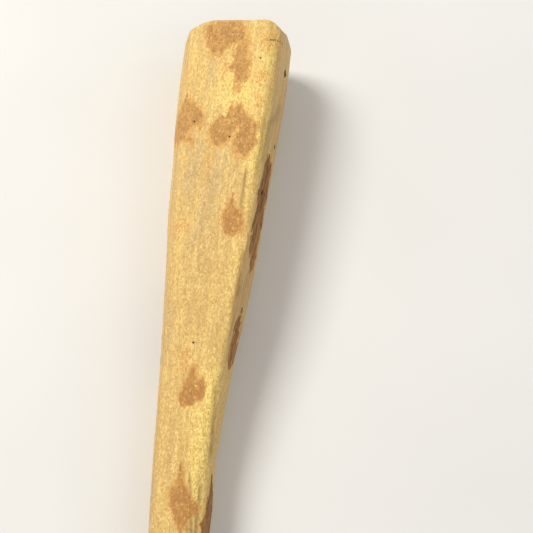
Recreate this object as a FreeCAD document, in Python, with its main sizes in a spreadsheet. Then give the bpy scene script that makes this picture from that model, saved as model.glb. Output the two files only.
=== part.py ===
import FreeCAD, Part
import math
import os
import Sketcher

# A didgeridoo: a hewn hardwood tube, split lengthways, hollowed and glued, with a
# beeswax mouthpiece and scraps of bark left on the wood.
# Millimetres. The instrument lies along X on its flat underside at Z = 0, with the
# bell at +X and the mouthpiece at -X. In a section, "right" is -Y and "up" is +Z.

DRIVING_SIZES = {
    "total_length": 1300,      # overall, bell cut to wax face
    "bell_inset": 3.5,         # the slanted bell cut runs this far past its middle
    "bell_cut_slant": 4,       # degrees between the bell cut and a square cut
    "front_share": 0.93,       # distance of each hewn flat from the axis,
    "right_share": 1.02,       # as a share of the half width
    "low_right_share": 0.96,
    "under_share": 0.94,
    "low_left_share": 0.96,
    "left_share": 0.985,
    "corner_share": 0.32,      # radius of the corners between the flats at the bell,
                               # except the ridge between the front and the right
    "seam_angle": 66,          # left seam, degrees from straight up
    "split_bend": 420,         # the split follows the grain, which bends this far
    "split_at_bell": 43,       # from the bell; its distance from the X axis at the
    "split_at_bend": 27.5,     # bell, at that bend and at the mouth
    "split_at_mouth": 25,
    "split_overrun": 20,       # the split's cutting surface runs this far past each end
    "glue_thickness": 0.3,
    "glue_divide": 7,          # between the left and the right glue line
    "wax_radius": 28,
    "wax_bore_radius": 15,
    "wax_end": 6.5,            # wax in front of the wood
    "wax_skirt": 24,           # wax over the outside of the wood
    "wax_skirt_edge": 25.8,    # radius of the skirt where it thins out
    "wax_lip_radius": 4.5,
    "bark_thickness": 0.5,
    "knot_depth": 9,
    "knot_taper": 0.5,         # radius of a knot's inner end, as a share
}

# Each row is one cross-section, from beyond the bell to the mouth end of the wood:
# distance from the bell, half width, sideways bend of the axis, how square the
# section is (1 at the bell, 0 would be round), bore radius, radius of the ridge.
SECTION_FIELDS = ("station", "half_width", "sideways", "squareness", "bore_radius", "ridge")
SECTIONS = [
    (-15, 50.0, 1, 1.00, 36.5, 17),
    (60, 50.5, 0, 1.00, 35, 15),
    (135, 47.5, -1, 0.95, 32, 9),
    (210, 43.0, -3, 0.88, 28, 5.5),
    (285, 37.5, -4, 0.80, 24.5, 5.5),
    (360, 31.5, -5, 0.72, 21, 9),
    (450, 27.5, -8, 0.60, 19, 14),
    (570, 25.5, -12, 0.48, 18, 17),
    (720, 25.0, -12, 0.38, 17.5, 18.5),
    (900, 25.0, -9, 0.28, 17.5, 20),
    (1100, 25.0, -4, 0.20, 17.5, 21.5),
    (1290, 24.5, 0, 0.15, 17.5, 22),
]
MOUTH = len(SECTIONS) - 1

# Outward direction of each flat, degrees from straight up, positive to the right.
# The ridge is the corner after the first.
FLATS = [
    ("front", -13),
    ("right", 80),
    ("low_right", 130),
    ("under", 180),
    ("low_left", 234),
    ("left", 280),
]

# Scraps of bark, each on the side that it is seen from. Drops have a round end and
# a tip that points to the bell (1) or to the mouth (-1); strips have two round ends.
# Across is the offset to the right on the top side, and the height on the others.
BARK_FIELDS = ("label", "kind", "side", "from_bell", "across", "length", "width", "tip")
BARK = [
    ("bark_bell_hook", "drop", "top", 24, -6, 66, 36, -1),
    ("bark_bell_left", "drop", "top", 110, -34, 56, 22, 1),
    ("bark_clover", "drop", "top", 112, 10, 58, 44, 1),
    ("bark_teardrop", "drop", "top", 198, 23, 48, 25, 1),
    ("bark_heart", "drop", "top", 360, 6, 42, 28, 1),
    ("bark_leaf", "drop", "top", 459, 12, 62, 28, 1),
    ("bark_strip_bell", "strip", "right", 180, 52, 116, 16, 1),
    ("bark_strip_waist", "strip", "right", 318, 42, 46, 13, 1),
    ("bark_strip_middle", "strip", "right", 503, 32, 130, 14, 1),
    ("bark_middle_top", "drop", "top", 640, 16, 52, 22, 1),
    ("bark_mouth_left", "drop", "left", 770, 30, 46, 18, -1),
    ("bark_mouth_top", "drop", "top", 905, 10, 48, 20, 1),
    ("bark_mouth_right", "strip", "right", 1060, 27, 90, 12, 1),
    ("bark_back_left", "strip", "left", 300, 20, 110, 14, 1),
]

# Dead knots, set in the wood like tapered pegs.
KNOT_FIELDS = ("label", "section", "towards_bell", "angle", "radius")
KNOTS = [
    ("knot_bell", 1, 23, 76, 4.0),
    ("knot_shoulder", 2, 22, 82, 2.2),
    ("knot_ridge", 3, 42, 57, 2.4),
    ("knot_waist", 3, -18, 72, 2.6),
    ("knot_stained", 4, 3, 66, 3.0),
]

doc = FreeCAD.newDocument("Didgeridoo")
sheet = doc.addObject("Spreadsheet::Sheet", "Sizes")


def fill_sheet(sizes):
    """Write each size as a name and an aliased number."""
    for row, (alias, value) in enumerate(sizes.items(), start=1):
        sheet.set(f"A{row}", alias)
        sheet.set(f"B{row}", str(value))
        sheet.setAlias(f"B{row}", alias)


all_sizes = dict(DRIVING_SIZES)
for index, row in enumerate(SECTIONS):
    for field, value in zip(SECTION_FIELDS, row):
        all_sizes[f"{field}_{index}"] = value
for row in BARK:
    facts = dict(zip(BARK_FIELDS, row))
    for field in ("from_bell", "across", "length", "width"):
        all_sizes[f"{facts['label']}_{field}"] = facts[field]
fill_sheet(all_sizes)
doc.recompute()


def size(alias):
    return float(sheet.get(alias))


def bind(obj, **expressions):
    """Bind properties to sheet expressions; double underscores stand for dots."""
    for name, expression in expressions.items():
        obj.setExpression(name.replace("__", "."), expression)


def bind_constraint(sketch, name, facts, expression):
    """Add a constraint with a size, and bind that size to the sheet."""
    sketch.addConstraint(Sketcher.Constraint(*facts))
    sketch.renameConstraint(sketch.ConstraintCount - 1, name)
    sketch.setExpression(f"Constraints.{name}", expression)


def hidden(kind, name):
    """A construction object, which makes no file of its own."""
    return doc.addObject(kind, name)


# The outward direction of each side, and how far from the X axis a scrap's outline
# starts on its way out through the skin of bark there.
SIDES = {
    "top": (FreeCAD.Vector(0, 0, 1), 30),
    "right": (FreeCAD.Vector(0, -1, 0), 10),
    "left": (FreeCAD.Vector(0, 1, 0), 0),
}
BELL_X = "(Sizes.total_length / 2 - Sizes.bell_inset)"
# Local X runs to the right (-Y), local Y up and local Z towards the mouth.
SECTION_TURN = FreeCAD.Rotation(
    FreeCAD.Vector(0, -1, 0), FreeCAD.Vector(0, 0, 1), FreeCAD.Vector(-1, 0, 0), "ZXY"
)


def flat_distance(flat, index):
    return (
        f"(Sizes.half_width_{index} * (1 - (1 - Sizes.{flat}_share) * Sizes.squareness_{index}))"
    )


def corner_radii(index, skin):
    """One expression for the corner after each flat."""
    half = f"Sizes.half_width_{index}"
    plain = f"{half} * (1 - (1 - Sizes.corner_share) * Sizes.squareness_{index}) + {skin}"
    return [f"Sizes.ridge_{index} + {skin}"] + [plain] * (len(FLATS) - 1)


def axis_height(index):
    """The underside rests on the floor, except at the mouth, where the wax does."""
    return "Sizes.wax_radius" if index == MOUTH else flat_distance("under", index)


def place_section(sketch, index):
    sketch.Placement = FreeCAD.Placement(FreeCAD.Vector(), SECTION_TURN)
    bind(
        sketch,
        Placement__Base__x=f"{BELL_X} - Sizes.station_{index}",
        Placement__Base__y=f"Sizes.sideways_{index}",
        Placement__Base__z=axis_height(index),
    )


def evaluate(expression):
    return float(sheet.evalExpression(expression.replace("Sizes.", "")))


def outline_corners(reaches, radii):
    """Centres of the corner arcs: the flats moved in by the radius, intersected."""
    centres = []
    for number, (flat, turn) in enumerate(FLATS):
        following = (number + 1) % len(FLATS)
        first = math.radians(90 - turn)
        second = math.radians(90 - FLATS[following][1])
        reach_1 = reaches[number] - radii[number]
        reach_2 = reaches[following] - radii[number]
        spread = math.sin(second - first)
        across = (reach_1 * math.sin(second) - reach_2 * math.sin(first)) / spread
        up = (reach_2 * math.cos(first) - reach_1 * math.cos(second)) / spread
        centres.append(FreeCAD.Vector(across, up, 0))
    return centres


def outer_section(name, index, skin="0"):
    """A hewn cross-section: six flats joined by tangent arcs, with a skin outside."""
    sketch = hidden("Sketcher::SketchObject", f"{name}{index}")
    distances = [f"{flat_distance(flat, index)} + {skin}" for flat, turn in FLATS]
    rounding = corner_radii(index, skin)
    reaches = [evaluate(distance) for distance in distances]
    radii = [evaluate(expression) for expression in rounding]
    centres = outline_corners(reaches, radii)
    count = len(FLATS)
    for number, (flat, turn) in enumerate(FLATS):
        outward = math.radians(90 - turn)
        following = math.radians(90 - FLATS[(number + 1) % count][1])
        step = FreeCAD.Vector(math.cos(outward), math.sin(outward), 0)
        start = centres[number - 1] + step * radii[number - 1]
        end = centres[number] + step * radii[number]
        sketch.addGeometry(Part.LineSegment(start, end))
        circle = Part.Circle(centres[number], FreeCAD.Vector(0, 0, 1), radii[number])
        sketch.addGeometry(Part.ArcOfCircle(circle, following, outward))
    for number, (flat, turn) in enumerate(FLATS):
        line = 2 * number
        arc = line + 1
        next_line = (line + 2) % (2 * count)
        sketch.addConstraint(Sketcher.Constraint("Tangent", line, 2, arc, 2))
        sketch.addConstraint(Sketcher.Constraint("Tangent", arc, 1, next_line, 1))
        sketch.addConstraint(Sketcher.Constraint("Angle", line, math.radians(-turn)))
        distance = ("Distance", -1, 1, line, reaches[number])
        radius = ("Radius", arc, radii[number])
        bind_constraint(sketch, f"{flat}_flat", distance, distances[number])
        bind_constraint(sketch, f"{flat}_corner", radius, rounding[number])
    place_section(sketch, index)
    return sketch


def bore_section(index):
    sketch = hidden("Sketcher::SketchObject", f"BoreSection{index}")
    radius = size(f"bore_radius_{index}")
    sketch.addGeometry(Part.Circle(FreeCAD.Vector(), FreeCAD.Vector(0, 0, 1), radius))
    sketch.addConstraint(Sketcher.Constraint("Coincident", 0, 3, -1, 1))
    bind_constraint(sketch, "wall", ("Radius", 0, radius), f"Sizes.bore_radius_{index}")
    place_section(sketch, index)
    return sketch


def loft(name, sections):
    solid = hidden("Part::Loft", name)
    solid.Sections = sections
    solid.Solid = True
    solid.Ruled = False
    return solid


def boolean(kind, name, base, tool):
    result = hidden(kind, name)
    result.Base = base
    result.Tool = tool
    return result


indexes = range(len(SECTIONS))
outer_loft = loft("OuterLoft", [outer_section("WoodSection", index) for index in indexes])
envelope_loft = loft(
    "EnvelopeLoft",
    [outer_section("EnvelopeSection", index, "Sizes.bark_thickness") for index in indexes],
)
bore = loft("Bore", [bore_section(index) for index in indexes])


def saw_waste():
    """What the slanted saw cut takes off the bell end."""
    box = hidden("Part::Box", "SawWaste")
    box.Placement = FreeCAD.Placement(
        FreeCAD.Vector(), FreeCAD.Rotation(FreeCAD.Vector(0, 0, 1), size("bell_cut_slant"))
    )
    bind(
        box,
        Length="4 * Sizes.half_width_0",
        Width="4 * Sizes.half_width_0",
        Height="4 * Sizes.half_width_0",
        Placement__Base__x=f"{BELL_X} + 2 * Sizes.half_width_0 * sin(Sizes.bell_cut_slant * 1 deg)",
        Placement__Base__y="-2 * Sizes.half_width_0 * cos(Sizes.bell_cut_slant * 1 deg)",
        Placement__Base__z="-Sizes.half_width_0",
    )
    return box


waste = saw_waste()
outer_wood = boolean("Part::Cut", "OuterWood", outer_loft, waste)
envelope = boolean("Part::Cut", "Envelope", envelope_loft, waste)
bark_skin = boolean("Part::Cut", "BarkSkin", envelope, outer_wood)
tube = boolean("Part::Cut", "Tube", outer_wood, bore)


def corner_sketch(name, corners):
    """A closed outline of straight lines, each corner bound to two expressions."""
    sketch = hidden("Sketcher::SketchObject", name)
    points = [FreeCAD.Vector(evaluate(along), evaluate(up), 0) for along, up in corners]
    count = len(points)
    for number, point in enumerate(points):
        sketch.addGeometry(Part.LineSegment(point, points[(number + 1) % count]))
    for number, (along, up) in enumerate(corners):
        following = (number + 1) % count
        sketch.addConstraint(Sketcher.Constraint("Coincident", number, 2, following, 1))
        for kind, value in (("DistanceX", along), ("DistanceY", up)):
            facts = (kind, -1, 1, number, 1, evaluate(value))
            bind_constraint(sketch, f"{kind}_{number}", facts, value)
    return sketch


def split_space(name, side):
    """Everything on the front side of the split, moved by half the glue."""
    gap = f"{side} * Sizes.glue_thickness / 2"
    end = "(Sizes.total_length / 2 + Sizes.split_overrun)"
    corners = [
        (end, f"Sizes.split_at_bell + {gap}"),
        (f"{end} - Sizes.split_bend", f"Sizes.split_at_bend + {gap}"),
        (f"-{end}", f"Sizes.split_at_mouth + {gap}"),
        (f"-{end}", "4 * Sizes.half_width_0"),
        (end, "4 * Sizes.half_width_0"),
    ]
    sketch = corner_sketch(f"{name}Profile", corners)
    # Local X runs to the bell, and local Y square to the split, towards the front.
    turn = FreeCAD.Rotation(FreeCAD.Vector(1, 0, 0), 180 - size("seam_angle"))
    sketch.Placement = FreeCAD.Placement(FreeCAD.Vector(), turn)
    space = hidden("Part::Extrusion", name)
    space.Base = sketch
    space.DirMode = "Normal"
    space.Symmetric = True
    space.Solid = True
    bind(space, LengthFwd="6 * Sizes.half_width_0")
    return space


front_space = split_space("FrontSpace", 1)
glued_space = split_space("GluedSpace", -1)


def knot_peg(label, section, towards_bell, angle, radius):
    """A cone square to the surface, its thin end in the wood."""
    cone = hidden("Part::Cone", f"{label}_peg")
    turn = FreeCAD.Rotation(FreeCAD.Vector(1, 0, 0), angle)
    outward = turn.multVec(FreeCAD.Vector(0, 0, 1))
    reach = f"(Sizes.half_width_{section} - Sizes.knot_depth)"
    cone.Placement = FreeCAD.Placement(FreeCAD.Vector(), turn)
    bind(
        cone,
        Radius1=f"{radius} * Sizes.knot_taper",
        Radius2=f"{radius} * (2 - Sizes.knot_taper)",
        Height="2 * Sizes.knot_depth",
        Placement__Base__x=f"{BELL_X} - Sizes.station_{section} + {towards_bell}",
        Placement__Base__y=f"Sizes.sideways_{section} + {outward.y} * {reach}",
        Placement__Base__z=f"{axis_height(section)} + {outward.z} * {reach}",
    )
    return cone


def knot(label, **place):
    peg = knot_peg(label, **place)
    return boolean("Part::Common", label, tube, peg), peg


knots = []
pegs = []
for row in KNOTS:
    piece, peg = knot(**dict(zip(KNOT_FIELDS, row)))
    knots.append(piece)
    pegs.append(peg)


def front_half():
    """The upper half of the tube, with a socket for each knot."""
    half = boolean("Part::Common", "FrontHalfBlank", tube, front_space)
    sockets = hidden("Part::MultiFuse", "KnotSockets")
    sockets.Shapes = pegs
    return boolean("Part::Cut", "tube_front_half", half, sockets)


def seam_side(name, turned):
    """A box over one side of the bore, square to the split."""
    side = hidden("Part::Box", name)
    turn = FreeCAD.Rotation(FreeCAD.Vector(1, 0, 0), 90 - size("seam_angle") + turned)
    divide = FreeCAD.Rotation(FreeCAD.Vector(1, 0, 0), 90 - size("seam_angle"))
    start = divide.multVec(FreeCAD.Vector(0, size("glue_divide"), 0))
    depth = turn.multVec(FreeCAD.Vector(0, 0, -2 * size("half_width_0")))
    side.Placement = FreeCAD.Placement(start + depth, turn)
    bind(
        side,
        Length="Sizes.total_length * 2",
        Width="4 * Sizes.half_width_0",
        Height="4 * Sizes.half_width_0",
        Placement__Base__x="-Sizes.total_length",
    )
    return side


def glue_lines():
    """The two films of glue that the bore leaves in the split."""
    slab = boolean("Part::Cut", "GlueSlab", glued_space, front_space)
    films = []
    for label, turned in (("glue_line_left", 0), ("glue_line_right", 180)):
        space = boolean("Part::Common", f"{label}_space", slab, seam_side(f"{label}_side", turned))
        films.append(boolean("Part::Common", label, tube, space))
    return films


def wax_mouthpiece():
    """A ring of beeswax round the mouth end, with a round lip, fitted to the wood."""
    end = "(Sizes.wax_end + Sizes.wax_skirt)"
    corners = [
        ("0", "Sizes.wax_bore_radius"),
        (end, "Sizes.wax_bore_radius"),
        (end, "Sizes.wax_skirt_edge"),
        (f"{end} - 2 * Sizes.wax_lip_radius", "Sizes.wax_radius"),
        ("0", "Sizes.wax_radius"),
    ]
    profile = corner_sketch("WaxProfile", corners)
    # Local X runs to the bell, local Y up.
    profile.Placement = FreeCAD.Placement(
        FreeCAD.Vector(), FreeCAD.Rotation(FreeCAD.Vector(1, 0, 0), 90)
    )
    bind(
        profile,
        Placement__Base__x="-Sizes.total_length / 2",
        Placement__Base__z=axis_height(MOUTH),
    )
    ring = hidden("Part::Revolution", "WaxRing")
    ring.Source = profile
    ring.Axis = FreeCAD.Vector(1, 0, 0)
    ring.Angle = 360
    ring.Solid = True
    bind(ring, Base__z=axis_height(MOUTH))
    doc.recompute()
    face_x = -size("total_length") / 2
    lip_edges = [
        (number, size("wax_lip_radius"), size("wax_lip_radius"))
        for number, edge in enumerate(ring.Shape.Edges, start=1)
        if edge.BoundBox.XMax < face_x + 0.01 and edge.BoundBox.YLength > 1
    ]
    rounded = hidden("Part::Fillet", "WaxRounded")
    rounded.Base = ring
    rounded.Edges = lip_edges
    return boolean("Part::Cut", "wax_mouthpiece", rounded, tube)


def drop_outline(sketch, label):
    """A round end with its centre at the origin, and a tip on local X."""
    length = f"Sizes.{label}_length"
    width = f"Sizes.{label}_width"
    radius = size(f"{label}_width") / 2
    tip_at = size(f"{label}_length") - radius
    touch = math.acos(radius / tip_at)
    upper = FreeCAD.Vector(radius * math.cos(touch), radius * math.sin(touch), 0)
    lower = FreeCAD.Vector(upper.x, -upper.y, 0)
    tip = FreeCAD.Vector(tip_at, 0, 0)
    circle = Part.Circle(FreeCAD.Vector(), FreeCAD.Vector(0, 0, 1), radius)
    sketch.addGeometry(Part.LineSegment(tip, upper))
    sketch.addGeometry(Part.ArcOfCircle(circle, touch, 2 * math.pi - touch))
    sketch.addGeometry(Part.LineSegment(lower, tip))
    sketch.addConstraint(Sketcher.Constraint("Tangent", 0, 2, 1, 1))
    sketch.addConstraint(Sketcher.Constraint("Tangent", 1, 2, 2, 1))
    sketch.addConstraint(Sketcher.Constraint("Coincident", 2, 2, 0, 1))
    sketch.addConstraint(Sketcher.Constraint("Coincident", 1, 3, -1, 1))
    sketch.addConstraint(Sketcher.Constraint("PointOnObject", 0, 1, -1))
    bind_constraint(sketch, "end_radius", ("Radius", 1, radius), f"{width} / 2")
    bind_constraint(
        sketch, "tip", ("DistanceX", -1, 1, 0, 1, tip_at), f"{length} - {width} / 2"
    )


def strip_outline(sketch, label):
    """Two straight sides and two round ends, centred on the origin."""
    length = f"Sizes.{label}_length"
    width = f"Sizes.{label}_width"
    radius = size(f"{label}_width") / 2
    centre = (size(f"{label}_length") - 2 * radius) / 2
    corners = [(-centre, radius), (centre, radius), (centre, -radius), (-centre, -radius)]
    points = [FreeCAD.Vector(along, across, 0) for along, across in corners]
    sketch.addGeometry(Part.LineSegment(points[0], points[1]))
    sketch.addGeometry(Part.LineSegment(points[2], points[3]))
    for along, start in ((centre, -math.pi / 2), (-centre, math.pi / 2)):
        circle = Part.Circle(FreeCAD.Vector(along, 0, 0), FreeCAD.Vector(0, 0, 1), radius)
        sketch.addGeometry(Part.ArcOfCircle(circle, start, start + math.pi))
    sketch.addConstraint(Sketcher.Constraint("Tangent", 0, 2, 2, 2))
    sketch.addConstraint(Sketcher.Constraint("Tangent", 2, 1, 1, 1))
    sketch.addConstraint(Sketcher.Constraint("Tangent", 1, 2, 3, 2))
    sketch.addConstraint(Sketcher.Constraint("Equal", 2, 3))
    sketch.addConstraint(Sketcher.Constraint("PointOnObject", 2, 3, -1))
    sketch.addConstraint(Sketcher.Constraint("PointOnObject", 3, 3, -1))
    bind_constraint(sketch, "end_radius", ("Radius", 2, radius), f"{width} / 2")
    half = f"({length} - {width}) / 2"
    bind_constraint(sketch, "right_end", ("DistanceX", -1, 1, 2, 3, centre), half)
    bind_constraint(sketch, "left_end", ("DistanceX", -1, 1, 3, 3, -centre), f"-{half}")


def bark_scrap(label, kind, side, tip):
    """The skin of bark inside an outline that is pushed outwards through it."""
    outward, start = SIDES[side]
    along = FreeCAD.Vector(tip, 0, 0)
    sketch = hidden("Sketcher::SketchObject", f"{label}_outline")
    if kind == "drop":
        drop_outline(sketch, label)
        shift = f"{tip} * (Sizes.{label}_length - Sizes.{label}_width) / 2"
    else:
        strip_outline(sketch, label)
        shift = "0"
    turn = FreeCAD.Rotation(along, outward.cross(along), outward, "ZXY")
    sketch.Placement = FreeCAD.Placement(outward * start, turn)
    bind(sketch, Placement__Base__x=f"{BELL_X} - Sizes.{label}_from_bell - {shift}")
    if side == "top":
        bind(sketch, Placement__Base__y=f"-Sizes.{label}_across")
    else:
        bind(sketch, Placement__Base__z=f"Sizes.{label}_across")
    prism = hidden("Part::Extrusion", f"{label}_prism")
    prism.Base = sketch
    prism.DirMode = "Normal"
    prism.Solid = True
    bind(prism, LengthFwd="4 * Sizes.half_width_0")
    return boolean("Part::Common", label, bark_skin, prism)


sub_parts = [front_half(), boolean("Part::Cut", "tube_back_half", tube, glued_space)]
sub_parts += glue_lines()
sub_parts += [wax_mouthpiece()]
sub_parts += knots
for row in BARK:
    facts = dict(zip(BARK_FIELDS, row))
    sub_parts.append(bark_scrap(facts["label"], facts["kind"], facts["side"], facts["tip"]))
doc.recompute()

for item in doc.Objects:
    if "Invalid" in item.State or "Error" in item.State:
        raise RuntimeError(f"{item.Name} failed: {item.State}")
for item in sub_parts:
    if item.Shape.isNull() or not item.Shape.isValid() or not item.Shape.Solids:
        raise RuntimeError(f"{item.Name} has no valid solid")

os.makedirs("parts", exist_ok=True)
for item in sub_parts:
    item.Label = item.Name
    item.Shape.exportStep(f"parts/{item.Label}.step")
    box = item.Shape.optimalBoundingBox()
    print(
        f"{item.Label:20s} solids {len(item.Shape.Solids)} volume {item.Shape.Volume:11.1f}"
        f" x {box.XMin:7.1f} {box.XMax:7.1f} y {box.YMin:6.1f} {box.YMax:6.1f}"
        f" z {box.ZMin:6.1f} {box.ZMax:6.1f}"
    )
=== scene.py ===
import math

import bmesh
import bpy
import numpy as np
from mathutils import Matrix, Vector
from mathutils.bvhtree import BVHTree

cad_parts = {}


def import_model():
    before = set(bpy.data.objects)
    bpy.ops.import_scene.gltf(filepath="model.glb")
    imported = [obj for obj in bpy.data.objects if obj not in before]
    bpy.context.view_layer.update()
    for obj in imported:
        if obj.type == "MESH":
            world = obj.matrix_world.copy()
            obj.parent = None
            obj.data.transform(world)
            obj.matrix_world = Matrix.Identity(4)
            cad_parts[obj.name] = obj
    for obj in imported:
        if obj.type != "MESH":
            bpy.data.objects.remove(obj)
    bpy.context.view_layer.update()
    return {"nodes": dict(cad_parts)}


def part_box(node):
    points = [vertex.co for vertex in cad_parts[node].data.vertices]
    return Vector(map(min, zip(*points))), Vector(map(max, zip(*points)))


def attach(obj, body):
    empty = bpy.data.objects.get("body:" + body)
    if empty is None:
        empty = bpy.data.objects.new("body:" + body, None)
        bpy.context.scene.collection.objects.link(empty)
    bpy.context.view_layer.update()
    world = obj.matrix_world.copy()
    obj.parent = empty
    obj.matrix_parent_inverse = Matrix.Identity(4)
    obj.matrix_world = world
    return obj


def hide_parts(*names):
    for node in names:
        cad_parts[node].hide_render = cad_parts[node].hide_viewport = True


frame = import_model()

# The visual model of a hewn didgeridoo. Metres, in the CAD frame: +X to the bell,
# +Z up, and "right" is -Y. Places along the tube are millimetres from the bell.

MM = 0.001

# ---- repeatable noise

OCTAVE_SHIFT = 31.7      # keeps the octaves' cells from lining up
STRETCH = 1.6            # brings most of the noise to between -1 and 1


def lattice(cell, seed):
    """A repeatable number from -1 to 1 for each whole-number cell corner."""
    mixed = cell[..., 0] * 374761393 + cell[..., 1] * 668265263 + cell[..., 2] * 974634777
    mixed = (mixed + seed * 362437) & 0xFFFFFFFF
    mixed = ((mixed ^ (mixed >> 13)) * 1274126177) & 0xFFFFFFFF
    mixed ^= mixed >> 16
    return (mixed & 0xFFFF) / 32767.5 - 1


def noise(points, size, seed, octaves=1):
    """Smooth noise from about -1 to 1 whose grains have the given size on each axis."""
    total = np.zeros(points.shape[:-1])
    reach = 0.0
    for octave in range(octaves):
        strength = 0.5 ** octave
        spot = points / np.array(size) * 2 ** octave + OCTAVE_SHIFT * octave
        low = np.floor(spot).astype(np.int64)
        part = spot - low
        part = part * part * (3 - 2 * part)
        value = 0.0
        for corner in np.ndindex(2, 2, 2):
            weight = np.prod(np.where(corner, part, 1 - part), axis=-1)
            value = value + weight * lattice(low + np.array(corner), seed + 17 * octave)
        total += strength * value
        reach += strength
    return total / reach * STRETCH


def smooth(low, high, value):
    """0 below low, 1 above high, and a smooth rise between."""
    part = np.clip((value - low) / (high - low), 0, 1)
    return part * part * (3 - 2 * part)


def bump(value, centre, width):
    """A smooth hill of height 1 around a centre."""
    return np.exp(-(((value - centre) / width) ** 2))


# ---- the CAD surfaces

WOOD = ("tube_front_half", "tube_back_half")
KNOTS = [name for name in frame["nodes"] if name.startswith("knot_")]
ANGLES = 240            # columns of the skin round the tube
BORE_STEP = 4           # the bore has one column for this many of the skin's
BASE_STEP = 0.004       # rows of the skin as it is read from the CAD model


def mesh_arrays(names):
    """The corners and triangles of some CAD nodes, joined."""
    corners, faces, count = [], [], 0
    for name in names:
        mesh = frame["nodes"][name].data
        mesh.calc_loop_triangles()
        corners += [vertex.co.copy() for vertex in mesh.vertices]
        faces += [[count + i for i in tri.vertices] for tri in mesh.loop_triangles]
        count = len(corners)
    return corners, faces


def slice_points(name, x):
    """Where the edges of a node's triangles cross the plane at x, as (y, z) rows."""
    corners, edges = seam_edges[name]
    first, second = corners[edges[:, 0]], corners[edges[:, 1]]
    crossing = (first[:, 0] - x) * (second[:, 0] - x) < 0
    first, second = first[crossing], second[crossing]
    part = ((x - first[:, 0]) / (second[:, 0] - first[:, 0]))[:, None]
    return (first + part * (second - first))[:, 1:]


def read_seam(name):
    """The corners of a seam's glue and the edges of its triangles, as arrays."""
    corners, faces = mesh_arrays([name])
    faces = np.array(faces)
    edges = np.vstack([faces[:, [0, 1]], faces[:, [1, 2]], faces[:, [2, 0]]])
    return np.array([tuple(corner) for corner in corners]), edges


seam_edges = {name: read_seam(name) for name in ("glue_line_left", "glue_line_right")}
wood_low, wood_high = (np.array(corner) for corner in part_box("tube_front_half"))
MOUTH_X = float(wood_low[0])


def split_direction():
    """The direction from the bore to the left seam, from a slice of its glue."""
    points = slice_points("glue_line_left", 0.0)
    across = points.max(axis=0) - points.min(axis=0)
    return across / np.linalg.norm(across)


SPLIT = split_direction()
SQUARE = np.array([-SPLIT[1], SPLIT[0]])      # square to the split, to the front


def seam_centre(x):
    """The middle of the bore on the split, at x."""
    left = slice_points("glue_line_left", x)
    right = slice_points("glue_line_right", x)
    inner_left = left[np.argmin(left @ SPLIT)]
    inner_right = right[np.argmax(right @ SPLIT)]
    height = (left.mean(axis=0) @ SQUARE + right.mean(axis=0) @ SQUARE) / 2
    along = (inner_left @ SPLIT + inner_right @ SPLIT) / 2
    return along * SPLIT + height * SQUARE


solid_tree = BVHTree.FromPolygons(
    *mesh_arrays(WOOD + tuple(seam_edges) + tuple(KNOTS)), all_triangles=True
)


def direction(turn):
    """Unit (y, z) at an angle from the left seam, over the front, in radians."""
    return np.cos(turn)[..., None] * SPLIT + np.sin(turn)[..., None] * SQUARE


def cast(origin, heading):
    """Where a ray meets the wood of the CAD model."""
    hit = solid_tree.ray_cast(Vector(origin), Vector(heading))[0]
    return np.array(hit) if hit else None


def rim_plane():
    """The bell cut: its x on the axis of Y, and how x falls off with y."""
    middle = seam_centre(wood_high[0] - 0.02)
    reach = 0.041
    places = []
    for side in (-reach, reach):
        hit = cast((1.0, middle[0] + side, middle[1]), (-1, 0, 0))
        places.append((hit[1], hit[0]))
    slope = (places[1][1] - places[0][1]) / (places[1][0] - places[0][0])
    return places[0][1] - slope * places[0][0], slope


RIM_X, RIM_SLOPE = rim_plane()
WIDE = 0.06              # more than the bell's half width
BASE_END = RIM_X - abs(RIM_SLOPE) * WIDE - 0.001
base_x = np.arange(MOUTH_X + 0.0005, BASE_END, BASE_STEP)
base_centre = np.array([seam_centre(x) for x in base_x])
turns = np.arange(ANGLES) * 2 * math.pi / ANGLES
headings = direction(turns)


def read_radii():
    """How far the wood and the bore are from the split's centre, all round."""
    outer = np.zeros((len(base_x), ANGLES))
    bore = np.zeros((len(base_x), ANGLES))
    far = 0.15          # well outside the tube
    for row, x in enumerate(base_x):
        middle = base_centre[row]
        for column, heading in enumerate(headings):
            start = middle + far * heading
            hit = cast((x, *start), (0, *-heading))
            outer[row, column] = np.linalg.norm(hit[1:] - middle)
            hit = cast((x, *middle), (0, *heading))
            bore[row, column] = np.linalg.norm(hit[1:] - middle)
    return outer, bore


base_outer, base_bore = read_radii()


def sample(table, x, turn):
    """A table of radii at any x and angle, between its rows and columns."""
    row = np.clip((x - base_x[0]) / BASE_STEP, 0, len(base_x) - 1.001)
    column = (turn / (2 * math.pi) * ANGLES) % ANGLES
    low_row = row.astype(int)
    low_column = column.astype(int) % ANGLES
    next_column = (low_column + 1) % ANGLES
    a, b = row - low_row, column - np.floor(column)
    low = table[low_row, low_column] * (1 - b) + table[low_row, next_column] * b
    high = table[low_row + 1, low_column] * (1 - b) + table[low_row + 1, next_column] * b
    return low * (1 - a) + high * a


def centre_at(x):
    """The (y, z) of the split's centre at x."""
    return np.stack([np.interp(x, base_x, base_centre[:, i]) for i in (0, 1)], axis=-1)


def place(x, turn, radius):
    """Points at a distance from the split's centre."""
    flat = centre_at(x) + radius[..., None] * direction(turn)
    return np.concatenate([x[..., None], flat], axis=-1)


def smooth_skin(x, turn):
    return place(x, turn, sample(base_outer, x, turn))


# ---- marks on the wood
# Every mark is a field in millimetres: positive inside the mark, negative outside.


def spots(points):
    """Distance from the bell, offset to the right and height, in millimetres."""
    from_bell = (RIM_X - points[..., 0]) / MM
    return from_bell, -points[..., 1] / MM, points[..., 2] / MM


def on_front(points):
    """Whether points are above the split's centre."""
    return points[..., 2] / MM > centre_at(points[..., 0])[..., 1] / MM


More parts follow.
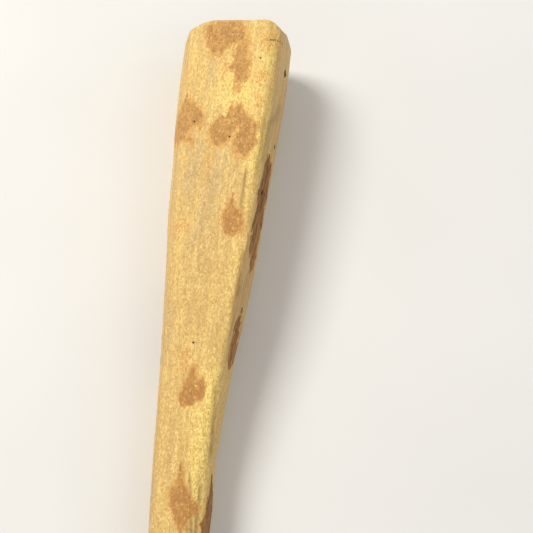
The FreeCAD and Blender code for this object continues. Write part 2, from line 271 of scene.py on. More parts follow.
def oval(along, across, centre, length, width):
    """An oval, as the distance inside its edge."""
    reach = np.hypot((along - centre[0]) / length * 2, (across - centre[1]) / width * 2)
    return (1 - reach) * width / 2


def ovals(along, across, *several):
    """Several ovals joined, each with its centre, length and width."""
    return np.maximum.reduce([oval(along, across, *each) for each in several])


def drop(along, across, centre, length, width):
    """A round end away from the bell, and a tip towards it."""
    up = (centre[0] + length / 2 - along) / length
    part = np.clip(up, 0, 1)
    half = width / 2 * np.sqrt(np.clip(part * 4, 0, 1)) * (1 - smooth(0.25, 1.05, part))
    beyond = np.maximum(np.maximum(-up, up - 1), 0) * length
    return half - np.abs(across - centre[1]) - beyond


def ragged(points, field, seed):
    """Eats into an edge with coarse and fine crumbs, longer along the grain."""
    size = 7.0
    coarse = noise(points / MM, (size * 1.6, size, size), seed, 2)
    fine = noise(points / MM, (3.4, 2.4, 2.4), seed + 5, 2)
    return field + 2.6 * coarse + 1.8 * fine


def flames(points, field, along, start, reach, seed):
    """Streaks that run from an edge towards the bell."""
    streak = noise(points / MM, (60, 2.6, 2.6), seed, 2)
    lift = smooth(start, start - reach, along)
    return field + lift * (6.5 * streak - 1.5)


def broken(points, field, along, across, centre, reach):
    """Crumbles a mark into islands round one of its places."""
    near = bump(np.hypot(along - centre[0], across - centre[1]), 0, reach)
    crumbs = noise(points / MM, (4.5, 3.2, 3.2), 47, 2)
    return field - near * (3 + 10 * crumbs)


def top_mark(shape):
    """A mark on the front: its shape is a function of distance and offset."""
    def field(points):
        along, across = spots(points)[:2]
        return np.where(on_front(points), shape(points, along, across), -20.0)
    return field


def hook_shape(points, along, across):
    top, bridge, stem = ((20, -17), 44, 27), ((17, -4), 30, 30), ((47, 8), 60, 19)
    field = ovals(along, across, top, bridge, stem)
    return broken(points, field, along, across, (48, -4), 8)


def left_shape(points, along, across):
    body, lobe, foot = ((108, -38), 44, 28), ((108, -24), 20, 11), ((126, -31), 16, 9)
    field = ovals(along, across, body, lobe, foot)
    return flames(points, field, along, 98, 22, 41)


def clover_shape(points, along, across):
    left, middle, right = ((118, -1), 38, 24), ((105, 10), 34, 22), ((124, 22), 46, 23)
    field = ovals(along, across, left, middle, right)
    field = flames(points, field, along, 106, 26, 42)
    return broken(points, field, along, across, (104, -3), 8)


def teardrop_shape(points, along, across):
    field = drop(along, across - 0.18 * (along - 205), (200, 21), 46, 23)
    return flames(points, field, along, 196, 22, 43)


def heart_shape(points, along, across):
    lobes = ovals(along, across, ((371, 0), 20, 13), ((366, 12), 24, 14))
    return np.maximum(lobes, drop(along, across, (360, 5.5), 38, 21))


def leaf_shape(points, along, across):
    body = drop(along, across - 0.2 * (along - 458), (456, 11), 46, 27)
    point = drop(-along, across, (-478, 13), 36, 18)
    return flames(points, np.maximum(body, point), along, 448, 16, 44)


def plain_drop(centre, length, width):
    return lambda points, along, across: drop(along, across, centre, length, width)


def side_strip(side, centre, length, width):
    """A long strip on the right (1) or left (-1) side, by distance and height."""
    def field(points):
        along, across, height = spots(points)
        axis = centre_at(points[..., 0]) / MM
        middle, floor = -axis[..., 0], axis[..., 1]
        wander = 2.5 * noise(points / MM, (45, 400, 400), 9)
        taper = 1 - 0.55 * np.abs((along - centre[0]) / length * 2) ** 3
        long_way = (length / 2 - np.abs(along - centre[0])) * 0.6
        inside = np.minimum(width / 2 * taper - np.abs(height - centre[1] - wander), long_way)
        beside = (across - middle) * side
        islands = 6 * smooth(0.25, 0.6, noise(points / MM, (14, 4.5, 4.5), 48, 2))
        return np.minimum(inside - islands, beside - 0.6 * (height - floor) - 8)
    return field


# Each scrap of bark: its CAD node and its shape.
BARK = {
    "bark_bell_hook": top_mark(hook_shape),
    "bark_bell_left": top_mark(left_shape),
    "bark_clover": top_mark(clover_shape),
    "bark_teardrop": top_mark(teardrop_shape),
    "bark_heart": top_mark(heart_shape),
    "bark_leaf": top_mark(leaf_shape),
    "bark_strip_bell": side_strip(1, (184, 62), 116, 44),
    "bark_strip_waist": side_strip(1, (312, 48), 50, 30),
    "bark_strip_middle": side_strip(1, (506, 34), 146, 30),
    "bark_middle_top": top_mark(plain_drop((640, 16), 54, 24)),
    "bark_mouth_left": side_strip(-1, (770, 30), 50, 18),
    "bark_mouth_top": top_mark(plain_drop((905, 10), 50, 22)),
    "bark_mouth_right": side_strip(1, (1062, 27), 96, 13),
    "bark_back_left": side_strip(-1, (302, 20), 116, 16),
}


def bark_field(name, points):
    seed = 100 + 7 * list(BARK).index(name)
    return ragged(points, BARK[name](points), seed)


# ---- the wood's relief

CREASE_DEPTH = 0.75      # millimetres
BARK_SINK = 0.25         # how far the wood dips under the bark, in millimetres

# How far the flanks stand out from the smooth form: distance from the bell, amount.
LEFT_FLANK = ((0, 0), (100, -1), (140, -2.4), (190, -1), (230, -1.8), (340, -1.7), (360, -0.9),
              (440, -0.9), (500, -2.6), (580, -2.6), (700, 0))
RIGHT_FLANK = ((0, 1.2), (60, 1.6), (190, 0), (290, 0.5), (320, -0.8), (420, 0), (460, 2.5),
               (580, 2.6), (700, 0))


def flank_relief(points):
    """Slow swells and hollows of the two flanks, in millimetres."""
    along, across, height = spots(points)
    middle = centre_at(points[..., 0]) / MM
    beside = across + middle[..., 0]
    sideways = beside / np.hypot(beside, height - middle[..., 1])
    left = np.interp(along, *zip(*LEFT_FLANK)) * smooth(0.3, 0.9, -sideways)
    right = np.interp(along, *zip(*RIGHT_FLANK)) * smooth(0.3, 0.9, sideways)
    return left + right


# Grooves that a tool left: distances from the bell, offsets to the right, strength.
CREASES = (
    ((150, 190, 226), (28, 28, 33), 1.0),
    ((226, 262, 300), (33.5, 35, 33), 0.7),
    ((66, 107, 156), (51, 43, 41), 0.6),
    ((96, 130, 172), (38, 38.5, 37), 0.6),
    ((425, 465, 520), (7, 15, 29), 0.8),
    ((432, 470, 520), (14, 21, 30), 1.0),
    ((440, 480, 525), (25, 27, 32), 0.9),
    ((352, 392, 430), (27, 29, 31), 0.6),
)


def creases(points):
    """1 along the middle of each groove, and 0 away from them."""
    along, across = spots(points)[:2]
    wander = 0.8 * noise(points / MM, (18, 400, 400), 9, 2)
    total = np.zeros(along.shape)
    for places, offsets, strength in CREASES:
        line = np.interp(along, places, offsets) + wander
        ends = smooth(places[0], places[0] + 12, along)
        ends = ends * (1 - smooth(places[-1] - 14, places[-1], along))
        total = np.maximum(total, strength * bump(across, line, 1.6) * ends)
    return total * on_front(points)


def hewn_relief(points):
    """How far the surface stands out from the smooth form, in millimetres."""
    along, local = spots(points)[0], points / MM
    waves = 0.55 * noise(local, (95, 38, 38), 3)
    tool = 0.22 * noise(local, (48, 9, 9), 4, 2)
    fibres = 0.05 * noise(local, (22, 2.2, 2.2), 5, 2)
    peel = 0.07 * noise(local, (4.2, 3.4, 3.4), 6, 2) * smooth(150, 260, along)
    return waves + tool + fibres + peel


def figure_relief(points):
    """Ripples across the grain of the front, in millimetres."""
    along, across = spots(points)[:2]
    drift = 1.5 * noise(points / MM, (30, 9, 9), 8)
    ripples = 0.10 * np.sin(along * 2 * math.pi / 6.5 + drift)
    ripples = ripples * bump(along, 410, 42) * bump(across, 14, 16)
    return ripples * on_front(points)


def dents(points):
    """Hollows where dead knots and borers' holes are, in millimetres."""
    depth = np.zeros(points.shape[:-1])
    for name in KNOTS:
        centre, radius = knot_place(name)
        away = np.linalg.norm(points - centre, axis=-1)
        depth = depth - 0.5 * bump(away, 0, radius * 1.1)
        depth = depth + 0.35 * bump(away, radius * 1.9, radius * 0.55)
    for centre in PINHOLES:
        away = np.linalg.norm(points - centre, axis=-1)
        depth = depth - 1.3 * bump(away, 0, 0.9 * MM)
    return depth


def knot_place(name):
    """Where a knot meets the smooth surface, and its radius there."""
    corners = np.array([tuple(v.co) for v in frame["nodes"][name].data.vertices])
    x = (corners[:, 0].min() + corners[:, 0].max()) / 2
    middle = centre_at(np.array([x]))[0]
    outer = corners[np.argsort(np.linalg.norm(corners[:, 1:] - middle, axis=1))[-12:]]
    centre = outer.mean(axis=0)
    radius = (corners[:, 0].max() - corners[:, 0].min()) / 2
    return centre, radius


def surface_turn(from_bell, across):
    """The x and the angle of a place on the front, from its distance and offset."""
    x = RIM_X - from_bell * MM
    turn = np.linspace(0.05, math.pi - 0.05, 400)
    row = smooth_skin(np.full_like(turn, x), turn)
    front = row[:, 2] > centre_at(np.array([x]))[0, 1]
    nearest = np.argmin(np.abs(row[:, 1] + across * MM) + ~front)
    return np.array([x]), turn[[nearest]]


# Borers' holes, by distance from the bell and offset, and a scratch made of small steps.
HOLE_PLACES = [surface_turn(*spot) for spot in ((111, -28.5), (125.5, 8), (321, 1.5), (44, 27))]
SCRATCH_PLACES = [surface_turn(23 - 0.6 * step, 33 + 2.2 * step) for step in range(7)]
PINHOLES = [smooth_skin(*spot)[0] for spot in HOLE_PLACES]


def relief(points):
    """All of the relief, in metres."""
    total = hewn_relief(points) + flank_relief(points) + figure_relief(points)
    total = total + dents(points) - CREASE_DEPTH * creases(points)
    for name in BARK:
        total = total - BARK_SINK * smooth(0, 2.0, bark_field(name, points))
    return total * MM


def mouth_fade(x):
    """Relief dies away under the wax."""
    return smooth(MOUTH_X + 0.010, MOUTH_X + 0.045, x)


def carved_skin(x, turn, lift=0.0):
    """Points of the finished surface, raised by a lift in metres."""
    radius = sample(base_outer, x, turn)
    base = place(x, turn, radius)
    points = place(x, turn, radius + relief(base) * mouth_fade(x) + lift)
    points[..., 2] = np.maximum(points[..., 2], 0)
    return points, base


HOLE_SPOTS = [carved_skin(*spot)[0][0] for spot in HOLE_PLACES]
SCRATCH_SPOTS = [carved_skin(*spot)[0][0] for spot in SCRATCH_PLACES]


# ---- mesh helpers


def grid_faces(rows, columns, wrap=False):
    """Quads between neighbouring rows and columns of a grid of vertices."""
    faces = []
    last = columns if wrap else columns - 1
    for row in range(rows - 1):
        for column in range(last):
            beside = (column + 1) % columns
            a, b = row * columns + column, row * columns + beside
            faces.append((a, b, b + columns, a + columns))
    return faces


def add_to_scene(name, data):
    thing = bpy.data.objects.new(name, data)
    bpy.context.collection.objects.link(thing)
    return thing


def face_outward(mesh):
    """Turns a closed mesh's faces over if they look inwards."""
    solid = bmesh.new()
    solid.from_mesh(mesh)
    if solid.calc_volume(signed=True) < 0:
        mesh.flip_normals()
    solid.free()


def make_piece(name, points, faces, material, node, masks=None):
    """A piece with smooth shading, and sets of masks for its material."""
    mesh = bpy.data.meshes.new(name)
    mesh.from_pydata([tuple(point) for point in points], [], faces)
    for attribute, values in (masks or {}).items():
        layer = mesh.attributes.new(attribute, "FLOAT_COLOR", "POINT")
        layer.data.foreach_set("color", np.asarray(values, dtype=np.float32).ravel())
    mesh.validate()
    face_outward(mesh)
    mesh.shade_smooth()
    mesh.set_sharp_from_angle(angle=math.radians(50))
    mesh.materials.append(material)
    thing = add_to_scene(name, mesh)
    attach(thing, "root")
    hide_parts(node)


# ---- the two halves

RIM_ROUND = 0.0035       # the worn outer edge of the bell
LIP_ROUND = 0.0020       # the inner edge
FINE_STEP = 0.0016       # rows of the skin from the bell to the waist
COARSE_STEP = 0.0040     # and on to the mouth
FINE_UNTIL = 0.11        # the x where the rows become coarser


def skin_rows():
    end = RIM_X - RIM_ROUND
    coarse = np.arange(MOUTH_X, FINE_UNTIL, COARSE_STEP)
    fine = np.linspace(FINE_UNTIL, end, int((end - FINE_UNTIL) / FINE_STEP))
    return np.concatenate([coarse, fine])


ROWS = skin_rows()
EDGE_STEPS = 5           # rings over the worn edge
FACE_STEPS = 9           # rings over the end grain

# Where the rim's corners are worn back: offset to the right, height, depth and reach.
WORN = ((47, 93, 8.5, 14), (16, 100, 2, 22), (-51, 88, 9, 15), (0, 8, 2, 30))


def shaped(x, turn):
    """Shifts rows near the bell to follow the slanted, worn cut."""
    side, height = np.moveaxis(smooth_skin(x, turn)[..., 1:], -1, 0) / MM
    back = np.zeros_like(x)
    for across, up, depth, reach in WORN:
        back = back + depth * bump(np.hypot(-side - across, height - up), 0, reach)
    near = smooth(RIM_X - 0.05, RIM_X - RIM_ROUND, x)
    return x + (RIM_SLOPE * side - back) * near * MM


def leaning(rows, columns):
    """The grid of rows and columns, with its rows shifted at the bell."""
    x, turn = np.meshgrid(rows, columns, indexing="ij")
    return shaped(x, turn), turn


# Faint patches where the bark left only a stain: place and reach, along and across.
FAINT = [
    ((24, 35), (13, 15)), ((65, 27), (11, 11)), ((52, -8), (12, 9)), ((58, -50), (10, 6)),
    ((214, -24), (12, 9)), ((338, -4), (14, 9)), ((150, -8), (16, 5)), ((88, 30), (12, 5)),
    ((700, -10), (22, 10)), ((835, 12), (18, 8)), ((980, -6), (26, 9)), ((1120, 8), (20, 9)),
]

# Grey figure in the wood, in the same way.
GREY = [
    ((48, -20), (34, 6)), ((150, -24), (50, 14)), ((165, 0), (42, 12)), ((212, -8), (36, 12)),
    ((305, -26), (36, 8)), ((455, -18), (50, 9)), ((660, 6), (70, 12)), ((900, -6), (90, 12)),
]


def ridge_offset(along):
    """How far to the right the ridge between the front and the right flat runs."""
    places, offsets = (0, 130, 200, 240, 300, 345, 520), (40, 42, 39, 35, 33, 29, 29)
    return np.interp(along, places, offsets)


def patch_reach(along, across, spot, reach):
    """0 in the middle of a patch and 1 at its edge."""
    return np.hypot((along - spot[0]) / reach[0], (across - spot[1]) / reach[1])


def stain_mask(base, along, across):
    """The stain the bark leaves round and under itself, and the faint patches."""
    stain = np.zeros(along.shape)
    for name in BARK:
        stain = np.maximum(stain, smooth(-3.5, 1.0, bark_field(name, base)))
    edge = 0.35 * noise(base / MM, (6, 5, 5), 72, 2)
    for patch in FAINT:
        reach = patch_reach(along, across, *patch)
        faint = 0.72 * (1 - smooth(0.5, 1.2, reach + edge)) * on_front(base)
        stain = np.maximum(stain, faint)
    return stain


def grey_mask(along, across, streak):
    """The grey figure, broken up by streaks."""
    grey = np.zeros(along.shape)
    for patch in GREY:
        reach = patch_reach(along, across, *patch)
        grey = np.maximum(grey, bump(reach, 0, 1) * smooth(-0.7, 0.3, streak))
    return grey


def yellow_and_ridge_light_mask(along, across, streak):
    """Bright yellow wood along the ridge, between the marks and lower down, with painted light
    along the ridge where its rounded edge turns from the key light.
    """
    yellow_and_ridge_light = bump(across, ridge_offset(along) - 7, 6) * smooth(-0.9, 0.3, streak)
    yellow_and_ridge_light = yellow_and_ridge_light * (1 - 0.6 * smooth(225, 260, along))
    yellow_and_ridge_light = np.maximum(yellow_and_ridge_light, bump(along, 76, 34) * bump(across, 10, 20))
    lower = smooth(310, 370, along) * (1 - smooth(450, 500, along)) * bump(across, 20, 13)
    return np.maximum(yellow_and_ridge_light, lower)


def facet_tone_and_shade_mask(along, across, height, floor):
    """The flat beyond the ridge, on the right: browner wood, darkened further with painted
    shade where it turns from the light.
    """
    ridge = ridge_offset(along)
    facet_tone_and_shade = smooth(ridge - 0.5, ridge + 1.5, across) * (height > floor - 25)
    return facet_tone_and_shade * (0.6 + 0.4 * smooth(215, 235, along)) * (1 - 0.7 * smooth(300, 345, along))


def wood_masks(base):
    """What the wood's material needs to know, as two sets of four masks."""
    along, across, height = spots(base)
    floor = centre_at(base[..., 0])[..., 1] / MM
    streak = noise(base / MM, (70, 5, 5), 61, 2)
    stain = stain_mask(base, along, across)
    grey = grey_mask(along, across, streak)
    yellow_and_ridge_light = yellow_and_ridge_light_mask(along, across, streak)
    facet_tone_and_shade = facet_tone_and_shade_mask(along, across, height, floor)
    # Painted sheen along the left edge, where the surface turns away.
    left_edge_sheen = smooth(0, -6, across + 30 + np.interp(along, [0, 300, 500], [28, 6, -3]))
    ripple = bump(along, 410, 45) * bump(across, 14, 18)
    mottle = 0.5 + 0.5 * smooth(130, 200, along)
    first = np.stack([stain, grey, yellow_and_ridge_light, facet_tone_and_shade], axis=-1)
    second = np.stack([left_edge_sheen, ripple, mottle, creases(base)], axis=-1)
    return {"marks": first, "zones": second}


GLUE_GAP = 0.0003        # the split, which the glue fills


def part_halves(grid, side):
    """Moves the first and last columns of a half back from the split."""
    step = np.concatenate([[0.0], SQUARE]) * side * GLUE_GAP / 2
    grid[:, 0] += step
    grid[:, -1] += step
    return grid


def rim_rings(x, turn, radius, bore_radius, base):
    """Rings over the bell's worn edge and its end grain, from the skin inwards."""
    worn = 1 + 0.35 * noise(base / MM, (12, 12, 12), 21, 2)
    rings = []
    for step in range(1, EDGE_STEPS + 1):
        angle = step / EDGE_STEPS * math.pi / 2
        ring = place(x, turn, radius - RIM_ROUND * (1 - math.cos(angle)) * worn)
        ring[..., 0] += RIM_ROUND * math.sin(angle)
        rings.append(ring)
    start = radius - RIM_ROUND * worn
    for step in range(1, FACE_STEPS + 1):
        part = step / FACE_STEPS
        ring = place(x, turn, start + (bore_radius + LIP_ROUND - start) * part)
        ripple = 0.12 * MM * noise(ring / MM, (3, 3, 3), 22, 2)
        ring[..., 0] += RIM_ROUND + ripple * math.sin(part * math.pi)
        rings.append(ring)
    return np.stack(rings)


def bore_rings(x, turn, bore_radius):
    """The lip of the bell's opening, and the bore from there to the mouth."""
    lip = place(x[-1], turn[-1], bore_radius)
    lip[..., 0] += RIM_ROUND - LIP_ROUND
    x, turn = x[::-1], turn[::-1]
    drawn = sample(base_bore, np.minimum(x, base_x[-1]), turn)
    rough = 0.25 * MM * noise(place(x, turn, drawn) / MM, (30, 6, 6), 23, 2)
    inner = place(x, turn, drawn + rough * mouth_fade(x))
    return np.concatenate([lip[None], inner])


def split_faces(outside, inside, last):
    """The flat face of the split between skin and bore, at the first or last column."""
    (rows, count), (bore_rows, bore_count) = outside, inside
    outer = [row * count + last * (count - 1) for row in range(rows)]
    first = rows * count + last * (bore_count - 1)
    inner = [first + row * bore_count for row in range(bore_rows)]
    skin_count = len(ROWS)
    faces = []
    for row in range(skin_count - 1):
        across = bore_rows - 1 - row
        faces.append((outer[row], outer[row + 1], inner[across - 1], inner[across]))
    faces.append(tuple(outer[skin_count - 1:]) + (inner[0], inner[1]))
    return [face[::-1] for face in faces] if last else faces


def half_faces(outside, inside):
    """Faces over the skin and the bore, across both ends and over the split."""
    (rows, count), (bore_rows, bore_count) = outside, inside
    offset = rows * count
    faces = grid_faces(rows, count)
    faces += [tuple(offset + i for i in face) for face in grid_faces(bore_rows, bore_count)]
    last = offset - count
    end = offset + (bore_rows - 1) * bore_count
    for column in range(bore_count - 1):
        wide = range(column * BORE_STEP, (column + 1) * BORE_STEP + 1)
        faces.append(tuple(last + i for i in wide) + (offset + column + 1, offset + column))
        faces.append(tuple(reversed(wide)) + (end + column, end + column + 1))
    return faces + split_faces(outside, inside, 0) + split_faces(outside, inside, 1)


def half_wood(name, first, node, material):
    """One half of the tube: skin, worn rim, end grain, bore and the split's faces."""
    side = 1 if first == 0 else -1
    columns = turns[(np.arange(ANGLES // 2 + 1) + first) % ANGLES]
    x, turn = leaning(ROWS, columns)
    skin, base = carved_skin(x, turn)
    radius = np.linalg.norm(skin[-1, :, 1:] - centre_at(x[-1]), axis=-1)
    bore_radius = sample(base_bore, np.minimum(x[-1], base_x[-1]), turn[-1])
    rim = rim_rings(x[-1], turn[-1], radius, bore_radius, base[-1])
    outside = part_halves(np.concatenate([skin, rim]), side)
    few = slice(None, None, BORE_STEP)
    inside = part_halves(bore_rings(x[:, few], turn[:, few], bore_radius[few]), side)
    faces = half_faces(outside.shape[:2], inside.shape[:2])
    base = np.concatenate([base, np.repeat(base[-1:], len(rim), axis=0)])
    base = np.concatenate([base.reshape(-1, 3), inside.reshape(-1, 3)])
    points = np.concatenate([outside.reshape(-1, 3), inside.reshape(-1, 3)])
    offset = outside.shape[0] * outside.shape[1]
    grain_start = (len(ROWS) + EDGE_STEPS // 2) * outside.shape[1]
    parts = np.zeros((len(points), 4))
    parts[offset:, 0] = 1
    parts[grain_start:offset + inside.shape[1], 1] = 1
    masks = wood_masks(base)
    masks["parts"] = parts
    make_piece(name, points, faces, material, node, masks)


# ---- materials


def paint(red, green, blue):
    """A colour from its everyday 0 to 255 values."""
    def linear(value):
        value = value / 255
        return value / 12.92 if value <= 0.04045 else ((value + 0.055) / 1.055) ** 2.4
    return (linear(red), linear(green), linear(blue), 1.0)


class Graph:
    """A material and short ways to add nodes to it. Sizes are millimetres."""

    def __init__(self, name):
        self.material = bpy.data.materials.new(name)
        self.material.use_nodes = True
        self.tree = self.material.node_tree
        self.shader = self.tree.nodes["Principled BSDF"]
        self.where = self.add("ShaderNodeTexCoord").outputs["Object"]

    def add(self, kind, **settings):
        new = self.tree.nodes.new(kind)
        for key, value in settings.items():
            setattr(new, key, value)
        return new

    def feed(self, socket, value):
        if isinstance(value, bpy.types.NodeSocket):
            self.tree.links.new(value, socket)
        else:
            socket.default_value = value

    def put(self, node, **inputs):
        """Feeds a node's inputs, named with a low line for each space."""
        for key, value in inputs.items():
            self.feed(node.inputs[key.replace("_", " ")], value)
        return node

    def stretched(self, sizes):
        mapping = self.add("ShaderNodeMapping")
        self.put(mapping, Vector=self.where, Scale=[1000 / size for size in sizes])
        return mapping.outputs["Vector"]

    def grain(self, sizes, detail=3, roughness=0.55, twist=0.0):
        """Noise from 0 to 1 with grains of the given sizes."""
        texture = self.add("ShaderNodeTexNoise")
        self.put(texture, Vector=self.stretched(sizes), Scale=1, Detail=detail)
        self.put(texture, Roughness=roughness, Distortion=twist)
        return texture.outputs["Fac"]

    def maths(self, operation, first, second):
        new = self.add("ShaderNodeMath", operation=operation)
        self.feed(new.inputs[0], first)
        self.feed(new.inputs[1], second)
        return new.outputs[0]

    def times(self, first, second):
        return self.maths("MULTIPLY", first, second)

    def rise(self, value, low, high, top=1.0, start=0.0):
        """A smooth rise from start to top while the value goes from low to high."""
        new = self.add("ShaderNodeMapRange", interpolation_type="SMOOTHSTEP")
        self.put(new, Value=value, From_Min=low, From_Max=high, To_Min=start, To_Max=top)
        return new.outputs["Result"]

    def blend(self, factor, first, second):
        new = self.add("ShaderNodeMix", data_type="RGBA")
        self.put(new, Factor=factor)
        self.feed(new.inputs[6], first)
        self.feed(new.inputs[7], second)
        return new.outputs[2]

    def between(self, value, low, high, first, second):
        """Goes from one paint to another while the value rises."""
        return self.blend(self.rise(value, low, high), paint(*first), paint(*second))

    def tint(self, factor, red, green, blue):
        """Blends a paint into the material's colour so far."""
        self.colour = self.blend(factor, self.colour, paint(red, green, blue))

    def masks(self, name):
        """The four masks of an attribute."""
        source = self.add("ShaderNodeAttribute", attribute_name=name)
        split = self.add("ShaderNodeSeparateColor")
        self.feed(split.inputs[0], source.outputs["Color"])
        return [*split.outputs, source.outputs["Alpha"]]

    def near(self, centre, low, high):
        """1 close to a point and 0 away from it, by distances in metres."""
        gap = self.add("ShaderNodeVectorMath", operation="DISTANCE")
        self.feed(gap.inputs[0], self.where)
        self.feed(gap.inputs[1], [float(value) for value in centre])
        return self.rise(gap.outputs["Value"], low, high, 0, 1)

    def shade_pinholes(self):
        # Painted shade: a near-black dot in each borer's hole.
        for centre in HOLE_SPOTS:
            self.tint(self.near(centre, 0.0010, 0.0017), 30, 17, 9)

    def raised(self, height, distance, normal=None):
        """A bump, in metres, on top of another if one is given."""
        new = self.put(self.add("ShaderNodeBump"), Height=height, Distance=distance)
        if normal:
            self.put(new, Normal=normal)
        return new.outputs["Normal"]

    def finish(self, roughness, normal, **constants):
        inputs = {"Base_Color": self.colour, "Roughness": roughness, "Normal": normal}
        self.put(self.shader, **inputs, **constants)
        return self.material


def pale_wood():
    """Hewn pale wood: grain, yellow and grey figure with painted light along the ridge, a
    browner right flat with painted shade, painted shade in creases and borers' holes, a painted
    sheen on the left edge, stains, end grain and a dark bore.
    """
    g = Graph("pale_wood")
    stain, grey, yellow_and_ridge_light, facet_tone_and_shade = g.masks("marks")
    left_edge_sheen, ripple, mottle, crease_shade = g.masks("zones")
    inside, end_grain, _, _ = g.masks("parts")
    broad = g.grain((90, 9, 9), 3, 0.5)
    streaks = g.grain((60, 2.6, 2.6), 4, 0.6, 0.5)
    flame = g.grain((34, 5.5, 5.5), 3, 0.5, 1.6)
    fibres = g.grain((14, 0.6, 0.6), 3, 0.6)
    crumbs = g.grain((3.0, 2.0, 2.0), 3, 0.62, 0.9)
    peel = g.grain((4.4, 2.9, 2.9), 2, 0.5, 1.4)
    g.colour = g.between(broad, 0.35, 0.65, (216, 180, 110), (232, 198, 117))
    # Yellow wood, and painted light along the ridge.
    g.tint(g.times(yellow_and_ridge_light, 0.95), 255, 229, 130)
    g.tint(g.times(grey, g.rise(flame, 0.36, 0.6)), 200, 174, 128)
    g.tint(g.rise(streaks, 0.50, 0.70, 0.6), 206, 167, 98)
    g.tint(g.rise(streaks, 0.46, 0.28, 0.5), 252, 226, 142)
    g.tint(g.rise(flame, 0.52, 0.7, 0.4), 196, 160, 100)
    g.tint(g.times(mottle, g.rise(peel, 0.47, 0.60, 0.6)), 200, 156, 88)
    g.tint(g.rise(crumbs, 0.50, 0.62, 0.6), 190, 145, 80)
    g.tint(g.rise(crumbs, 0.46, 0.34, 0.42), 255, 232, 158)
    g.tint(g.rise(fibres, 0.52, 0.72, 0.3), 196, 150, 84)
    # The right flat: browner wood, and painted shade.
    facet_bands_and_shade = g.between(streaks, 0.40, 0.60, (212, 172, 112), (176, 136, 80))
    g.colour = g.blend(g.times(facet_tone_and_shade, 0.78), g.colour, facet_bands_and_shade)
    # Painted shade in the tool's grooves.
    g.tint(g.times(crease_shade, 0.75), 142, 102, 58)
    # Painted sheen along the left edge.
    g.tint(g.times(left_edge_sheen, 0.95), 255, 224, 164)
    speckle = g.maths("ADD", stain, g.times(g.maths("SUBTRACT", crumbs, 0.5), 2.2))
    g.tint(g.times(stain, 0.35), 236, 178, 96)
    g.tint(g.rise(speckle, 0.62, 0.95, 0.8), 204, 146, 78)
    wave = g.add("ShaderNodeTexWave", bands_direction="X")
    g.put(wave, Vector=g.stretched((20.7, 20.7, 20.7)), Scale=1, Distortion=3.5, Detail=2)
    ripples = g.times(ripple, g.rise(wave.outputs["Fac"], 0.45, 0.9, 0.4))
    g.tint(ripples, 206, 162, 88)
    rings = g.grain((400, 1.3, 1.3), 3, 0.55, 1.4)
    ends = g.between(rings, 0.4, 0.62, (222, 178, 112), (176, 126, 68))
    g.colour = g.blend(end_grain, g.colour, ends)
    # Darker inside the bore.
    dark_bore = g.between(streaks, 0.35, 0.65, (74, 48, 28), (122, 86, 50))
    g.colour = g.blend(inside, g.colour, dark_bore)
    # Painted shade in the borers' holes.
    g.shade_pinholes()
    for centre in SCRATCH_SPOTS:
        g.tint(g.times(g.near(centre, 0.0003, 0.0016), 0.8), 96, 64, 34)
    roughness = g.maths("ADD", g.rise(streaks, 0.2, 0.8, 0.2), 0.42)
    roughness = g.maths("ADD", roughness, g.times(inside, 0.3))
    normal = g.raised(fibres, 0.0002)
    normal = g.raised(crumbs, 0.0007, normal)
    normal = g.raised(peel, 0.0007, normal)
    return g.finish(roughness, normal, Specular_IOR_Level=0.4)


def inner_bark():
    """The soft reddish bark of the front: crumbly, with a paler rim."""
    g = Graph("inner_bark")
    crumbs = g.grain((2.8, 2.1, 2.1), 4, 0.68, 0.9)
    clouds = g.grain((13, 8, 8), 3, 0.55, 0.5)
    strands = g.grain((13, 1.1, 1.1), 3, 0.6)
    edge, towards_mouth = g.masks("edge")[:2]
    g.colour = g.between(clouds, 0.35, 0.65, (186, 139, 83), (205, 157, 91))
    # Browner further from the bell.
    g.tint(g.times(towards_mouth, 0.8), 186, 134, 74)
    g.tint(g.rise(crumbs, 0.50, 0.62, 0.75), 164, 118, 70)
    g.tint(g.rise(crumbs, 0.46, 0.34, 0.8), 238, 190, 118)
    g.tint(g.rise(strands, 0.55, 0.70, 0.5), 160, 114, 68)
    rim = g.times(g.rise(edge, 0.75, 0.15), g.rise(crumbs, 0.40, 0.56))
    g.tint(g.times(rim, 0.75), 236, 192, 112)
    # Painted shade in the borers' holes.
    g.shade_pinholes()
    normal = g.raised(crumbs, 0.0007)
    normal = g.raised(strands, 0.0003, normal)
    return g.finish(0.78, normal, Specular_IOR_Level=0.25)


def outer_bark():
    """The dark stringy bark of the sides."""
    g = Graph("outer_bark")
    crumbs = g.grain((2.6, 1.5, 1.5), 4, 0.65, 0.8)
    clouds = g.grain((22, 6, 6), 3, 0.55, 0.5)
    strands = g.grain((24, 1.2, 1.2), 3, 0.6)
    edge = g.masks("edge")[0]
    g.colour = g.between(clouds, 0.36, 0.62, (108, 74, 44), (170, 122, 72))
    g.tint(g.rise(crumbs, 0.5, 0.64, 0.75), 74, 48, 30)
    g.tint(g.rise(strands, 0.48, 0.66, 0.7), 196, 146, 88)
    g.tint(g.rise(edge, 0.45, 0.0, 0.7), 186, 132, 70)
    normal = g.raised(crumbs, 0.0006)
    normal = g.raised(strands, 0.0004, normal)
    return g.finish(0.85, normal, Specular_IOR_Level=0.2)


def knot_wood():
    """Dead, nearly black wood."""
    g = Graph("knot_wood")
    rings = g.grain((1.1, 1.1, 1.1), 3, 0.6, 0.5)
    tint = g.grain((5, 3, 3), 2)
    g.colour = g.between(rings, 0.4, 0.62, (44, 27, 15), (92, 60, 34))
    g.tint(g.rise(tint, 0.55, 0.7, 0.6), 24, 15, 9)
    return g.finish(0.8, g.raised(rings, 0.0005), Specular_IOR_Level=0.25)


